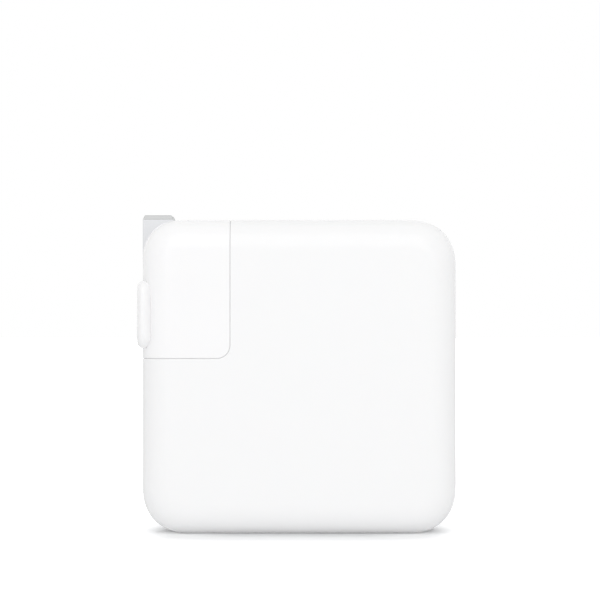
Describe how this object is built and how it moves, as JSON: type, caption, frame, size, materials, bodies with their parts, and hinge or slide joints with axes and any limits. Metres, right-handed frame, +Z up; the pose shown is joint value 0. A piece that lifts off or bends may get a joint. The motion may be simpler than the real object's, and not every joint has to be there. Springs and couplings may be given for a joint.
{
  "type": "laptop power adapter",
  "caption": "Square white wall charger with a slide-off corner plug head, folding flat prongs on its side and a small oval outlet port in the other side.",
  "frame": {"origin": "centre of the lower edge face, on which the adapter stands", "axes": "+X across the width towards the outlet port, +Y through the thickness towards the back face, +Z up"},
  "size_m": [0.0671, 0.028, 0.067],
  "materials": {
    "case_white": "smooth white moulding, low gloss",
    "head_white": "smooth white moulding, polished rim",
    "blade_metal": "nickel-plated, fine satin",
    "plated_steel": "plated, satin",
    "spring_brass": "tinned spring brass",
    "copper": "bare copper",
    "spreader_metal": "thin rolled sheet",
    "sheet_amber": "thin insulating film",
    "board_green": "solder-masked glass-epoxy laminate",
    "inner_white": "matt white moulding",
    "moulded_black": "matt black moulding",
    "ferrite": "ground ferrite",
    "tape_yellow": "winding tape",
    "film_yellow": "box film capacitor case",
    "sleeve_navy": "shrink sleeve",
    "coat_blue": "dipped epoxy coat",
    "can_aluminium": "drawn can",
    "pad_grey": "soft thermal gap pad"
  },
  "bodies": {
    "case": {"front_shell": "case_white", "rear_shell": "case_white", "inlet_cup": "inner_white", "inlet_pins": "plated_steel", "input_leads": "copper", "guide_stud": "plated_steel", "ground_strap": "copper", "stud_nut": "plated_steel", "front_heat_spreader": "spreader_metal", "rear_heat_spreader": "spreader_metal", "insulating_sheet": "sheet_amber", "main_board": "board_green", "fuse": "moulded_black", "varistor": "coat_blue", "x_capacitor": "film_yellow", "y_capacitor": "coat_blue", "choke_core": "ferrite", "choke_windings": "copper", "bridge_rectifier": "moulded_black", "bulk_capacitors": "sleeve_navy", "power_transistor": "moulded_black", "control_chips": "moulded_black", "optocoupler": "inner_white", "bias_capacitor": "sleeve_navy", "transformer_core": "ferrite", "transformer_bobbin": "moulded_black", "transformer_winding": "tape_yellow", "thermal_pad": "pad_grey", "output_inductor": "ferrite", "output_capacitors": "can_aluminium", "port_header": "moulded_black", "port_board": "board_green", "port_shell": "plated_steel", "port_tongue": "moulded_black", "port_contacts": "spring_brass"},
    "plug_head": {"plug_shell": "head_white", "plug_base": "head_white", "socket_sleeves": "spring_brass", "contact_springs": "spring_brass", "rail_clip": "plated_steel", "detent_leaf": "plated_steel"},
    "prongs": {"prong_carrier": "head_white", "front_prong": "blade_metal", "rear_prong": "blade_metal"}
  },
  "joints": [
    {"name": "plug_head_slide", "type": "slide", "parent": "case", "child": "plug_head", "axis": [0, 0, 1], "range_m": [0, 0.03]},
    {"name": "prong_hinge", "type": "hinge", "parent": "plug_head", "child": "prongs", "pos_m": [-0.0298, 0, 0.0461], "axis": [0, -1, 0], "range_deg": [0, 90]}
  ]
}
